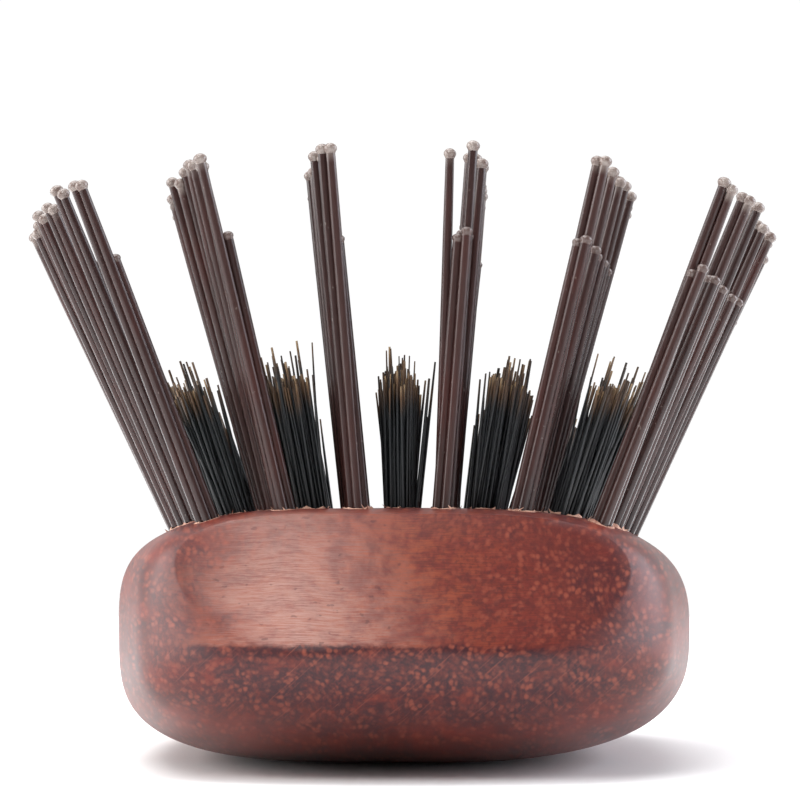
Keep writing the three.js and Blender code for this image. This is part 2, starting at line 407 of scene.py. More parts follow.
class Growth(Tree):
    """A Geometry Nodes tree with named inputs, which grows strands out of points."""

    KINDS = {float: "NodeSocketFloat", int: "NodeSocketInt",
             bpy.types.Material: "NodeSocketMaterial"}
    VECTORS = ("axis", "outward", "root", "aim", "bend")

    def __init__(self, name, values):
        group = bpy.data.node_groups.new(name, "GeometryNodeTree")
        super().__init__(group)
        group.interface.new_socket("Geometry", in_out="INPUT", socket_type="NodeSocketGeometry")
        group.interface.new_socket("Geometry", in_out="OUTPUT", socket_type="NodeSocketGeometry")
        self.identifiers = {}
        for label, value in values.items():
            socket = group.interface.new_socket(label, in_out="INPUT",
                                                socket_type=self.KINDS[type(value)])
            self.identifiers[label] = socket.identifier
        self.group_input = self.node("NodeGroupInput")

    def value(self, label):
        return self.group_input.output(label)

    def kind(self, name):
        return "FLOAT_VECTOR" if name in self.VECTORS else "FLOAT"

    def store(self, geometry, **facts):
        """The geometry with those facts kept on its points."""
        for name, value in facts.items():
            geometry = self.node("GeometryNodeStoreNamedAttribute", {
                "Geometry": geometry, "Name": name, "Value": value}, data_type=self.kind(name))
        return geometry

    def read(self, name):
        return self.node("GeometryNodeInputNamedAttribute", {"Name": name},
                         data_type=self.kind(name))

    def random(self, low, high, seed, identity=None):
        """A random number for each point, or for each value of identity."""
        inputs = {"Min": low, "Max": high, "Seed": self.value("Seed") + seed}
        if identity:
            inputs["ID"] = identity
        return self.node("FunctionNodeRandomValue", inputs, data_type="FLOAT")

    def random_push(self, size, seed):
        """A random sideways push of up to that size along each axis."""
        return self.node("ShaderNodeCombineXYZ", {
            i: self.random(-1.0, 1.0, seed + i) * size for i in range(3)})

    def grow(self, points, steps, sides, along, radius):
        """A tube from each point: along gives the distance from the root at each step,
        and radius the radius there, both as wires worked out from the step's number."""
        line = self.node("GeometryNodeMeshLine", {"Count": steps})
        line = self.store(line, step=self.node("GeometryNodeInputIndex"))
        placed = self.node("GeometryNodeInstanceOnPoints", {"Points": points, "Instance": line})
        strands = self.node("GeometryNodeRealizeInstances", {"Geometry": placed})
        strands = self.store(strands, to_root=along())
        to_root, reach = self.read("to_root"), self.read("reach")
        strands = self.store(strands, to_tip=reach - to_root)
        straight = self.scaled(self.read("aim"), to_root)
        bent = self.scaled(self.read("bend"), (to_root / reach) ** 2)
        strands = self.node("GeometryNodeSetPosition", {
            "Geometry": strands, "Position": self.total(self.read("root"), straight, bent)})
        curves = self.node("GeometryNodeMeshToCurve", {"Mesh": strands})
        ring = self.node("GeometryNodeCurvePrimitiveCircle",
                         {"Resolution": sides, "Radius": 1.0}, mode="RADIUS")
        tubes = self.node("GeometryNodeCurveToMesh", {
            "Curve": curves, "Profile Curve": ring, "Scale": radius(), "Fill Caps": True})
        smooth = self.node("GeometryNodeSetShadeSmooth", {"Geometry": tubes})
        return self.node("GeometryNodeRealizeInstances", {"Geometry": smooth})

    def paint(self, geometry, label, selection=True):
        return self.node("GeometryNodeSetMaterial", {
            "Geometry": geometry, "Selection": selection, "Material": self.value(label)})

    def give(self, geometry):
        self.node("NodeGroupOutput", {"Geometry": geometry})


def duplicates(tree, amount_label):
    """The tuft points, repeated once for each strand, and the strand's number."""
    points = tree.store(tree.value("Geometry"), tuft=tree.node("GeometryNodeInputIndex"))
    made = tree.node("GeometryNodeDuplicateElements", {
        "Geometry": points, "Amount": tree.value(amount_label)}, domain="POINT")
    return made, made.output("Duplicate Index")


def around(tree, angle, radius):
    """An offset from the middle of the tuft, in the tuft's own plane."""
    outward = tree.scaled(tree.read("outward"), tree.maths("COSINE", angle) * radius)
    lengthwise = tree.scaled((0.0, 1.0, 0.0), tree.maths("SINE", angle) * radius)
    return tree.total(outward, lengthwise)


def rooted(tree, spot):
    """The start of a strand at that spot of its tuft, down in the hole."""
    place = tree.total(tree.node("GeometryNodeInputPosition"), spot)
    return tree.vector("SUBTRACT", place, tree.scaled(tree.read("axis"), tree.value("Depth")))


def nylon_tree(values):
    """Legs with ball tips from each hole: a long pair on the outer side, and a short pair
    with smaller balls on the inner side."""
    tree = Growth("Nylon tufts", values)
    value, read, chance = tree.value, tree.read, tree.random
    points, leg = duplicates(tree, "Legs")
    half_thickness = value("Thickness") / 2
    short = leg.above(1.5)
    side = 1 - 2 * tree.maths("MODULO", leg, 2)
    turn = chance(-1.0, 1.0, 1, read("tuft")) * value("Pack turn")
    angle = side * (math.pi / 4 + short * (math.pi / 2)) + turn + read("turn")
    root = rooted(tree, around(tree, angle, half_thickness * LEG_PACKING))
    stray = read("stray") * (1 - leg.above(0.5))
    lean = value("Lean") * (2 * short - 1)
    aim = tree.total(read("axis"), tree.random_push(value("Splay"), 2),
                     tree.scaled(read("outward"), lean),
                     tree.scaled((1.0, 0.0, 0.0), stray))
    length = value("Long leg") + short * (value("Short leg") - value("Long leg"))
    reach = value("Depth") + length + chance(-1.0, 1.0, 5) * value("Length spread")
    thin = 1 - 0.08 * abs(stray).above(0.01)
    girth = half_thickness * chance(0.94, 1.04, 6) * thin
    points = tree.store(
        points, root=root, aim=tree.vector("NORMALIZE", aim), reach=reach,
        bend=tree.random_push(value("Bend"), 7), girth=girth, long=1 - short,
        ball=value("Ball height") / 2 * (1 - 0.2 * short),
        knob=girth * value("Ball width") / value("Thickness") * (1 - 0.1 * short),
        shade=chance(0.0, 1.0, 11))
    shaft_steps, tip_steps = 6, 7

    def tip_angle():
        turned = (read("step") - shaft_steps) / tip_steps
        return turned.highest(0.0).lowest(1.0) * math.pi

    def along():
        shaft = (read("step") / shaft_steps).lowest(1.0)
        ball = read("ball")
        return (shaft * (read("reach") - 2 * ball)
                + ball * (1 - tree.maths("COSINE", tip_angle())))

    def radius():
        angle = tip_angle()
        knob = read("knob") * tree.maths("SINE", angle)
        neck = 1 - 0.1 * read("long") * read("step").above(shaft_steps - 0.5)
        shaft = read("girth") * neck * (1 - angle.above(math.pi / 2))
        return shaft.highest(knob).highest(read("girth") * 0.05)

    legs = tree.grow(points, shaft_steps + tip_steps + 1, value("Sides"), along, radius)
    near_tip = (value("Ball height") * 0.95).above(read("to_tip"))
    legs = tree.paint(legs, "Nylon")
    legs = tree.paint(legs, "Tip", near_tip.above(0.5))
    tree.give(legs)
    return tree


def boar_tree(values):
    """A tuft of tapered bristles of uneven length from each hole, with a few strays."""
    tree = Growth("Boar tufts", values)
    value, read, chance = tree.value, tree.read, tree.random
    points, hair = duplicates(tree, "Bristles")
    golden_angle = math.pi * (3 - math.sqrt(5))
    angle = hair * golden_angle + chance(0.0, 2 * math.pi, 1, read("tuft"))
    share = ((hair + 0.5) / value("Bristles")) ** 0.5
    root = rooted(tree, around(tree, angle, share * value("Tuft radius")))
    wild = chance(0.0, 1.0, 2).above(0.93)
    splay = value("Splay") * (1 + 3 * wild)
    aim = tree.total(read("axis"), around(tree, angle, share * value("Flare")),
                     tree.random_push(splay, 3))
    spread = chance(-1.0, 1.0, 6) * value("Length spread")
    stray = chance(0.0, 1.0, 7) ** 14 * value("Stray length")
    points = tree.store(
        points, root=root, aim=tree.vector("NORMALIZE", aim),
        reach=value("Depth") + value("Length") + spread + stray,
        bend=tree.random_push(value("Bend"), 8),
        girth=value("Thickness") / 2 * chance(0.7, 1.15, 11),
        shade=chance(0.0, 1.0, 12))
    steps = 6

    def along():
        return read("step") / (steps - 1) * read("reach")

    def radius():
        gone = (read("step") / (steps - 1)) ** 3
        return read("girth") * (1 - gone * value("Taper"))

    hairs = tree.grow(points, steps, value("Sides"), along, radius)
    tree.give(tree.paint(hairs, "Bristle"))
    return tree


# ---- Meshes

def new_object(name, data):
    made = bpy.data.objects.new(name, data)
    bpy.context.scene.collection.objects.link(made)
    return made


def settle(piece):
    """Turns what the object's modifiers show into its plain mesh."""
    depsgraph = bpy.context.evaluated_depsgraph_get()
    mesh = bpy.data.meshes.new_from_object(piece.evaluated_get(depsgraph), depsgraph=depsgraph)
    mesh.name = piece.name
    piece.modifiers.clear()
    piece.data = mesh


def mesh_from(shape, name):
    """A mesh of the bmesh, which is freed."""
    mesh = bpy.data.meshes.new(name)
    shape.to_mesh(mesh)
    shape.free()
    return mesh


def tuft_points(name, frames, outward, strays):
    """A vertex for each hole, with the directions that its strands grow from."""
    mesh = bpy.data.meshes.new(name)
    mesh.from_pydata([tuple(frame.translation * MM) for frame in frames], [], [])
    turn = math.copysign(math.pi / 4, outward)
    strays = [strays.get(i, {}) for i in range(len(frames))]
    facts = {
        "axis": [part for frame in frames for part in frame.to_3x3() @ Vector((0, 0, 1))],
        "outward": [part for frame in frames for part in frame.to_3x3() @ Vector((outward, 0, 0))],
        "stray": [stray.get("stray", 0.0) for stray in strays],
        "turn": [turn + stray.get("turn", 0.0) for stray in strays],
    }
    for name, values in facts.items():
        vector = name in Growth.VECTORS
        layer = mesh.attributes.new(name, "FLOAT_VECTOR" if vector else "FLOAT", "POINT")
        layer.data.foreach_set("vector" if vector else "value", values)
    return mesh


def grown_piece(name, points, tree, values):
    """A plain mesh object of the strands that the tree grows out of the points."""
    piece = new_object(name, points)
    modifier = piece.modifiers.new("Growth", "NODES")
    modifier.node_group = tree.tree
    for label, value in values.items():
        modifier[tree.identifiers[label]] = value
    settle(piece)
    return piece


def ring_distances(edge):
    """Distances from the nose of the wood's rings, outside the edge of its sanded face."""
    spread = (np.arange(1, NOSE_RINGS) / NOSE_RINGS)[:, None] ** 1.7
    start = edge + EDGE_STEPS[-1]
    outer = start + (NOSE_REACH - edge - EDGE_STEPS[-1]) * spread
    main = np.linspace(NOSE_REACH, LENGTH - END_RUN, MAIN_RINGS, endpoint=False)
    end = LENGTH - END_RUN * (1 - np.sin(np.arange(END_RINGS) / END_RINGS * math.pi / 2))
    tail = np.concatenate([main, end])[:, None] + np.zeros(WOOD_SIDES)
    return np.concatenate([edge + np.array(EDGE_STEPS)[:, None], outer, tail])


def blend_face(points):
    """Cuts the points back to the sanded face, with an edge that is softer at the sides and
    at the top."""
    face_y = face_place(points)
    aside = np.clip(np.abs(points[..., 0]) / SIDE_START - 1, 0, 1)
    upper = np.clip((points[..., 2] - TOP_START) / TOP_RUN, 0, 1)
    softness = EDGE_SOFTNESS + SIDE_SOFTNESS * np.maximum(aside, TOP_SHARE * upper)
    blend = np.clip((points[..., 1] - face_y) / softness, -1, 1)
    soft = face_y + softness * (1 + blend) ** 2 / 4
    points[..., 1] = np.where(blend < 1, soft, points[..., 1])


def swell(points):
    """Adds the slight unevenness of hand sanding, and keeps the back on the floor."""
    for ring, row in enumerate(points):
        for point in row:
            out = Vector((point[0], 0, point[2] - SWELL_HEIGHT)).normalized()
            size = sum(noise.noise(Vector(point) * rate) * height for rate, height in SWELLS)
            point += np.array(out) * size * min(1.0, ring / SWELL_RINGS)
    points[..., 2] = np.clip(points[..., 2], 0, None)


def wood_blank():
    """The skin of the wood as a grid with a pole at each end, before it is drilled. The
    first rings fill the sanded face and one ring lies on its edge."""
    angles = -np.arange(WOOD_SIDES) / WOOD_SIDES * 2 * math.pi
    points = wood_surface(ring_distances(face_edge(angles)), angles[None, :])
    centre = np.array([0, NOSE_Y, FACE_MIDDLE])
    inner = np.linspace(0, 1, FACE_RINGS, endpoint=False)[1:, None, None]
    points = np.concatenate([centre + (points[0] - centre) * inner, points])
    blend_face(points)
    swell(points)
    nose_pole = (0, float(face_place(centre)), FACE_MIDDLE)
    end_pole = (0, NOSE_Y + LENGTH, float(mid_height(LENGTH)))
    vertices = [*map(tuple, points.reshape(-1, 3)), nose_pole, end_pole]
    last = (len(points) - 1) * WOOD_SIDES
    faces = []
    for start in range(0, last, WOOD_SIDES):
        for k in range(WOOD_SIDES):
            a, b = start + k, start + (k + 1) % WOOD_SIDES
            faces.append((a, b, b + WOOD_SIDES, a + WOOD_SIDES))
    for k in range(WOOD_SIDES):
        after = (k + 1) % WOOD_SIDES
        faces.append((len(vertices) - 2, after, k))
        faces.append((len(vertices) - 1, last + k, last + after))
    mesh = bpy.data.meshes.new("wood_blank")
    mesh.from_pydata([tuple(Vector(v) * MM) for v in vertices], [], faces)
    outwards(mesh)
    mesh.shade_smooth()
    return mesh


def outwards(mesh):
    """Turns the faces of a closed mesh outwards."""
    shape = bmesh.new()
    shape.from_mesh(mesh)
    bmesh.ops.recalc_face_normals(shape, faces=shape.faces)
    shape.to_mesh(mesh)
    shape.free()


def hole_cutters(holes, sides):
    """One closed cylinder for each hole: (frame, radius) in millimetres."""
    shape = bmesh.new()
    length = HOLE_DEPTH + HOLE_RUN_OUT
    middle = Matrix.Translation((0, 0, (HOLE_RUN_OUT - HOLE_DEPTH) / 2))
    for frame, radius in holes:
        bmesh.ops.create_cone(shape, cap_ends=True, segments=sides, radius1=radius,
                              radius2=radius, depth=length,
                              matrix=Matrix.Scale(MM, 4) @ frame @ middle)
    return mesh_from(shape, "hole_cutters")


def all_holes(settings):
    """Every hole of the head as (frame, radius)."""
    kinds = ((NYLON_ROWS, 0, settings.nylon_hole), (BOAR_ROWS, BOAR_STAGGER, settings.boar_hole))
    return [(frame, radius / MM) for rows, stagger, radius in kinds for row in rows
            for frame in row_frames(row, stagger)]


def rim_burrs(holes, settings):
    """A torn, uneven collar of raw wood round each hole, with a few splinters."""
    rng = random.Random(settings.seed)
    vertices, faces = [], []
    corners = 16
    for frame, radius in holes:
        rough = 0.15 + 0.85 * rng.random() ** 2
        start = len(vertices)
        for k in range(corners):
            angle = 2 * math.pi * k / corners
            width = settings.burr_width / MM * rough * rng.uniform(0.3, 1.0)
            lift = settings.burr_height / MM * rough * rng.random() ** 2 + 0.03
            for reach, height in ((radius - 0.06, -0.15), (radius + width, -0.08),
                                  (radius + width * 0.3, lift)):
                place = frame @ Vector((reach * math.cos(angle), reach * math.sin(angle), 0))
                place.z = top_height(place.y - NOSE_Y, place.x) + height
                vertices.append(place)
        for k in range(corners):
            here, after = start + 3 * k, start + 3 * ((k + 1) % corners)
            for edge in range(3):
                turn = (edge + 1) % 3
                faces.append((here + edge, here + turn, after + turn, after + edge))
        for _ in range(rng.randint(1, settings.splinters)):
            add_splinter(vertices, faces, frame, radius, rng)
    mesh = bpy.data.meshes.new("rim_burrs")
    mesh.from_pydata([tuple(v * MM) for v in vertices], [], faces)
    outwards(mesh)
    return mesh


def add_splinter(vertices, faces, frame, radius, rng):
    """A thin raised sliver at the edge of a hole, as a closed wedge."""
    angle = rng.uniform(0, 2 * math.pi)
    spot = frame @ Vector(((radius + 0.1) * math.cos(angle), (radius + 0.1) * math.sin(angle), 0))
    spot.z = top_height(spot.y - NOSE_Y, spot.x) - 0.06
    along = Vector((rng.uniform(-1, 1), rng.uniform(-1, 1), 0)).normalized()
    aside = Vector((-along.y, along.x, 0)) * rng.uniform(0.06, 0.14)
    tip = spot + along * rng.uniform(0.2, 0.6) + Vector((0, 0, rng.uniform(0.15, 0.5)))
    start = len(vertices)
    vertices.extend([spot - aside, spot + aside, spot + Vector((0, 0, 0.16)), tip])
    faces.extend([(start, start + 1, start + 2), (start + 1, start, start + 3),
                  (start + 2, start + 1, start + 3), (start, start + 2, start + 3)])


# ---- Finishes

def lacquered_wood(shader, finish):
    """Red-brown wood under a satin lacquer. The grain runs along the brush, so its pores
    are dots on the nose and dashes on the sides. The sanded face of the nose is paler and
    shows fine lines across. A pale, streaky painted highlight lies on its left, where its
    pores fade, and painted shade darkens its right. The wood round it is dark, with filled
    pores, and at the foot of the nose the pores fade away as painted shade."""
    place = shader.millimetres()
    part = shader.node("ShaderNodeSeparateXYZ", {0: place})
    across, from_nose, height = part.output("X"), part.output("Y") - NOSE_Y, part.output("Z")
    drift = shader.noise(place, (0.09, 0.02, 0.09)).output("Color")
    drift = shader.scaled(shader.vector("SUBTRACT", drift, (0.5, 0.5, 0.5)), 4.0)
    grain = shader.total(place, drift)
    bands = shader.noise(grain, (0.12, 0.012, 0.3), detail=3.0, roughness=0.6)
    mottle = shader.noise(grain, (0.5, 0.05, 0.7), detail=4.0, roughness=0.6)
    fibre = shader.noise(grain, (3.2, 0.12, 3.2), detail=4.0, roughness=0.65)
    nose = 1 - from_nose.between(2.0, 9.0)
    foot = FACE_FOOT + (mottle - 0.5) * 1.2
    above_foot = (height - foot).between(-0.15, 0.35)
    inside = 1 - (abs(across + 1.5) + (bands - 0.5) * 14).between(10.0, 19.0)
    face = nose * above_foot * inside
    pore_noise = shader.noise(place, (1.1, 0.2, 1.1))
    ragged = shader.noise(place, (2.6, 0.3, 2.6))
    pore_cells = shader.cells(grain, (1.9, 0.2, 1.9)) + (ragged - 0.5) * 0.5
    pores = 1 - pore_cells.between(0.12, 0.62)
    # painted highlight: the pores fade on the left of the sanded face, where the painted
    # reflection lies
    highlight_washed_face = face * (1 - across.between(-2.0, 11.0) * 0.75)
    pores = pores * pore_noise.between(0.3, 0.6) * (1 - highlight_washed_face * 0.92)
    pores = pores * (1 - nose * abs(across - 2.0).between(17.0, 24.0) * 0.8)
    # painted shade: at the foot of the nose the light pores fade, so the wood is darker towards
    # the floor
    pores = pores * (1 - nose * (1 - height.between(2.0, 7.5)) * 0.75)
    wander = shader.total(place, shader.scaled(drift, 0.25))
    sanding = shader.noise(wander, (0.5, 0.5, 9.0), detail=4.0, roughness=0.8)
    scratch_place = shader.node("ShaderNodeMapping", {
        "Vector": place, "Rotation": (0.0, math.radians(42), 0.0)}, vector_type="POINT")
    scratch = shader.noise(scratch_place, (0.22, 0.22, 7.0), detail=3.0)
    scratch = scratch.between(0.6, 0.7) * (1 - above_foot)
    ring = nose * (1 - face) * (1 - (from_nose - height * 0.25).between(3.0, 9.0) * 0.5)
    around_face = shader.layered(
        shader.mix(bands.between(0.36, 0.64), finish.wood_dark, finish.wood_red),
        (mottle.between(0.45, 0.7) * 0.7, finish.wood_purple),
        (ring * mottle.between(0.25, 0.5) * 0.9, finish.wood_purple),
        (fibre.between(0.42, 0.75) * 0.35, finish.wood_light))
    # painted highlight: a pale patch on the left of the sanded face, streaked by the sanding
    # lines, stands for the reflection of the key light
    slant = across + 10.0 + (height - 15.0) * 0.5
    painted_highlight = 1 - (abs(slant) + (mottle - 0.5) * 10).between(-1.5, 14.0)
    painted_highlight = painted_highlight * (0.4 + sanding.between(0.38, 0.6) * 0.6)
    blotches = ragged.between(0.45, 0.7) * across.between(-4.0, 8.0)
    dents = shader.noise(place, (1.1, 0.3, 1.9)).between(0.66, 0.74)
    sanded = shader.layered(
        shader.mix(mottle.between(0.4, 0.62), finish.face_orange, finish.wood_red),
        # painted shade: the right side of the sanded face is darkened to wood red, away from the
        # light
        (across.between(0.0, 10.0) * 0.85, finish.wood_red),
        (sanding.between(0.4, 0.62) * 0.6, finish.wood_dark),
        (blotches * 0.8, finish.wood_dark),
        (painted_highlight * 0.85, finish.face_pale),
        (dents * 0.45, finish.wood_purple))
    base = shader.layered(
        around_face, (face * 0.9, sanded),
        (pores * (0.3 + mottle.between(0.35, 0.65) * 0.4), finish.wood_pore),
        (scratch * nose * 0.3, finish.wood_pore))
    relief = fibre * 0.35 - pores * 0.4 + (sanding - 0.5) * face * 0.8 - scratch * nose * 0.5
    normal = shader.bump(relief, 0.4, 0.05)
    rough = 0.4 + fibre * 0.1 + sanding * face * 0.15
    return shader.finish(Base_Color=base, Roughness=rough, Normal=normal, Coat_Weight=0.25,
                         Coat_Roughness=0.3, Coat_IOR=1.5, Specular_IOR_Level=0.3)


def raw_wood(shader, finish):
    """Pale wood without lacquer, inside the holes and at their torn rims."""
    place = shader.millimetres()
    fibre = shader.noise(place, (5.0, 0.9, 5.0), detail=3.0, roughness=0.7)
    stain = shader.noise(place, (0.9, 0.6, 0.9))
    base = shader.mix(fibre, finish.raw_dark, finish.raw_light)
    base = shader.mix(stain.between(0.45, 0.7) * 0.6, base, finish.wood_red)
    return shader.finish(Base_Color=base, Roughness=0.8, Normal=shader.bump(fibre, 0.6, 0.08))


def nylon_brown(shader, finish):
    """Smoky nylon: darker in its core, with fine drawn streaks along each leg, and going
    clear towards the ball tip."""
    place = shader.millimetres()
    streak = shader.noise(place, (7.0, 7.0, 0.5))
    cloud = shader.noise(place, (0.25, 0.25, 0.12))
    shade = shader.attribute("shade")
    neck = 1 - (shader.attribute("to_tip") / MM).between(0.9, 1.7)
    neck = neck * shader.attribute("long")
    dust = shader.noise(place, (3.0, 3.0, 2.2)).between(0.7, 0.76)
    base = shader.layered(
        shader.mix(shade * 0.6 + streak * 0.4, finish.nylon_dark, finish.nylon_light),
        (cloud.between(0.45, 0.75) * 0.5, finish.nylon_red),
        (neck * shade.between(0.4, 1.0) * 0.6, finish.tip_milk),
        (dust * 0.3, finish.tip_milk))
    return shader.finish(Base_Color=base, Roughness=0.17 + streak * 0.12, IOR=1.5,
                         Normal=shader.bump(streak, 0.2, 0.015), Specular_IOR_Level=0.42)


def clear_tip(shader, finish):
    """Milky clear nylon of the melted ball tips."""
    place = shader.millimetres()
    cloud = shader.noise(place, (2.2, 2.2, 2.2))
    base = shader.mix(cloud.between(0.3, 0.7), finish.tip_milk, finish.tip_brown)
    base = shader.mix((1 - shader.attribute("long")) * 0.7, base, finish.nylon_light)
    return shader.finish(Base_Color=base, Roughness=0.1 + cloud * 0.12, IOR=1.5)


def boar_hair(shader, finish):
    """Black bristle that turns amber and gold towards its tip."""
    place = shader.millimetres()
    shade = shader.attribute("shade")
    scale = shader.noise(place, (9.0, 9.0, 3.0))
    to_tip = shader.attribute("to_tip") / MM
    amber = 1 - to_tip.between(0.4, 2.8)
    amber = amber * (0.2 + shade).lowest(1.0)
    pale = (1 - to_tip.between(0.0, 1.1)) * shade.between(0.5, 0.9)
    base = shader.layered(
        # partly painted sheen: some bristles are lighter and bluer, a random tone that also stands
        # for the bluish highlights on black bristle
        shader.mix(shade * 0.7 + scale * 0.3, finish.boar_black, finish.boar_blue),
        (amber, finish.boar_amber), (pale * 0.7, finish.boar_gold))
    return shader.finish(Base_Color=base, Roughness=0.3 + scale * 0.2,
                         Normal=shader.bump(scale, 0.3, 0.02))


# ---- Settings

def amount(name, description, default, **limits):
    return FloatProperty(name=name, description=description, default=default, min=0.0, **limits)


def tilt(name, description, default):
    return amount(name, description, default, subtype="ANGLE", unit="ROTATION")


def measure(name, description, millimetres):
    return amount(name, description, millimetres * MM, precision=5, subtype="DISTANCE",
                  unit="LENGTH")


def tint(name, description, default):
    return FloatVectorProperty(name=name, description=description, default=default,
                               size=3, min=0.0, max=1.0, subtype="COLOR")


def count(name, description, default, least=1):
    return IntProperty(name=name, description=description, default=default, min=least)


class WoodSettings(bpy.types.PropertyGroup):
    """Sizes of the holes and of their torn rims."""

    nylon_hole: measure("Nylon hole", "Radius of a nylon tuft's hole", 1.06)
    boar_hole: measure("Boar hole", "Radius of a boar tuft's hole", 1.2)
    burr_width: measure("Burr width", "Widest torn wood round a hole", 0.34)
    burr_height: measure("Burr height", "Highest torn wood round a hole", 0.34)
    splinters: count("Splinters", "Most splinters round a hole", 4)
    seed: count("Seed", "Seed of the torn rims", 7, least=0)


class NylonSettings(bpy.types.PropertyGroup):
    """Sizes of the nylon tufts."""

    legs: count("Legs", "Legs in a tuft", 4)
    sides: count("Sides", "Sides of a leg's section", 8, least=3)
    thickness: measure("Thickness", "Thickness of a leg", 0.85)
    long_leg: measure("Long leg", "Long leg above the wood", 29.4)
    short_leg: measure("Short leg", "Short leg above the wood", 22.4)
    spread: measure("Length spread", "Most difference in length", 0.5)
    depth: measure("Depth", "Length in the wood", 7.2)
    ball_width: measure("Ball width", "Width of the ball tip", 1.12)
    ball_height: measure("Ball height", "Height of the ball tip", 0.9)
    bend: measure("Bend", "Most sideways bend at the tip", 0.16)
    splay: tilt("Splay", "Random lean of a leg", 0.005)
    lean: tilt("Lean", "Lean of the long and short legs away from each other", 0.006)
    pack_turn: tilt("Pack turn", "Random turn of a tuft's legs", 0.25)
    seed: count("Seed", "Seed of the nylon tufts", 3, least=0)


class BoarSettings(bpy.types.PropertyGroup):
    """Sizes of the boar tufts."""

    bristles: count("Bristles", "Bristles in a tuft", 50)
    sides: count("Sides", "Sides of a bristle's section", 4, least=3)
    thickness: measure("Thickness", "Thickness of a bristle", 0.34)
    length: measure("Length", "Bristle above the wood", 10.4)
    spread: measure("Length spread", "Most difference in length", 0.6)
    stray: measure("Stray length", "Extra length of the longest strays", 3.4)
    depth: measure("Depth", "Length in the wood", 7.0)
    tuft_radius: measure("Tuft radius", "Radius of a tuft at the wood", 1.02)
    bend: measure("Bend", "Most sideways bend at the tip", 0.35)
    flare: tilt("Flare", "Outward lean of the outer bristles", 0.02)
    splay: tilt("Splay", "Random lean of a bristle", 0.026)
    taper: amount("Taper", "Share of the thickness lost at the tip", 0.5, max=1.0)
    seed: count("Seed", "Seed of the boar tufts", 11, least=0)


class FinishSettings(bpy.types.PropertyGroup):
    """Colours of the wood and the bristles."""

    wood_red: tint("Wood red", "Main colour of the wood", (0.15, 0.017, 0.009))
    wood_dark: tint("Wood dark", "Dark bands", (0.07, 0.009, 0.007))
    wood_purple: tint("Wood purple", "Purple mottling", (0.032, 0.006, 0.01))
    wood_light: tint("Wood light", "Light fibres", (0.24, 0.036, 0.018))
    wood_pore: tint("Wood pore", "Filled pores", (0.33, 0.075, 0.04))
    # painted highlight: the colour of the pale patch painted on the left of the sanded face
    face_pale: tint("Face pale", "Pale side of the sanded face", (0.44, 0.235, 0.19))
    face_orange: tint("Face orange", "Orange side of the sanded face",
                                (0.26, 0.048, 0.015))
    raw_light: tint("Raw wood light", "Light raw wood", (0.78, 0.52, 0.4))
    raw_dark: tint("Raw wood dark", "Dark raw wood", (0.4, 0.17, 0.11))
    nylon_dark: tint("Nylon dark", "Dark nylon", (0.02, 0.0095, 0.009))
    nylon_light: tint("Nylon light", "Light nylon", (0.062, 0.03, 0.027))
    nylon_red: tint("Nylon red", "Reddish core", (0.062, 0.016, 0.013))
    tip_milk: tint("Tip milk", "Milky tip", (0.3, 0.25, 0.225))
    tip_brown: tint("Tip brown", "Brown in the tip", (0.16, 0.11, 0.095))
    boar_black: tint("Boar black", "Black bristle", (0.006, 0.007, 0.008))
    # partly painted sheen: blue-black tone that also stands for the bluish highlights on the
    # bristles
    boar_blue: tint("Boar blue", "Blue-black bristle", (0.018, 0.021, 0.024))
    boar_amber: tint("Boar amber", "Amber tips", (0.125, 0.062, 0.026))
    boar_gold: tint("Boar gold", "Palest tips", (0.4, 0.28, 0.16))


class StudioSettings(bpy.types.PropertyGroup):
    """Camera and light."""

    camera_gap: measure("Camera gap", "Camera to the first rank of tufts", 255)
    eye_height: measure("Eye height", "Camera above the floor", 17)
    aside: measure("Aside", "Camera left of the middle line", 0.4)
    pitch: tilt("Pitch", "Upward tilt of the camera", math.radians(2.95))
    lens: amount("Lens", "Focal length in millimetres", 143.4)
    world: amount("World", "Strength of the room light", 0.8)
    front_shade: amount("Front shade", "Room light lost behind the camera", 0.75, max=1.0)
    key: amount("Key", "Strength of the main softbox", 6.0)
    fill: amount("Fill", "Strength of the top light", 4.2)
    side: amount("Side", "Strength of the side softboxes", 4.6)


# ---- Operators

def finished(piece, slot, *nodes):
    """Ties a finished piece to the frame."""
    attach(piece, BODY)
    if nodes:
        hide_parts(*nodes)


def shared_material(make):
    """The material that the function makes, made once."""
    name = MATERIAL_NAMES[make]
    return (bpy.data.materials.get(name)
            or make(Shader(name), bpy.context.scene.brush_finish))


MATERIAL_NAMES = {lacquered_wood: "Lacquered wood", raw_wood: "Raw wood",
                  nylon_brown: "Smoky nylon", clear_tip: "Clear nylon tip",
                  boar_hair: "Boar bristle"}


class BRUSH_OT_wood(bpy.types.Operator):
    """Make the drilled and lacquered wood of head and handle."""

    bl_idname = "brush.wood"
    bl_label = "Wooden Body"

    def execute(self, context):
        settings = context.scene.brush_wood
        holes = all_holes(settings)
        blank = new_object("wooden_body", wood_blank())
        cutters = new_object("hole_cutters", hole_cutters(holes, sides=18))
        blank.data.materials.append(shared_material(lacquered_wood))
        cutters.data.materials.append(shared_material(raw_wood))
        drill = blank.modifiers.new("Drill", "BOOLEAN")
        drill.operation = "DIFFERENCE"
        drill.solver = "EXACT"
        drill.material_mode = "TRANSFER"
        drill.object = cutters
        settle(blank)
        bpy.data.objects.remove(cutters)
        blank.data.shade_smooth()
        blank.data.set_sharp_from_angle(angle=math.radians(40))
        finished(blank, "wood", WOOD_NODE)
        return {"FINISHED"}


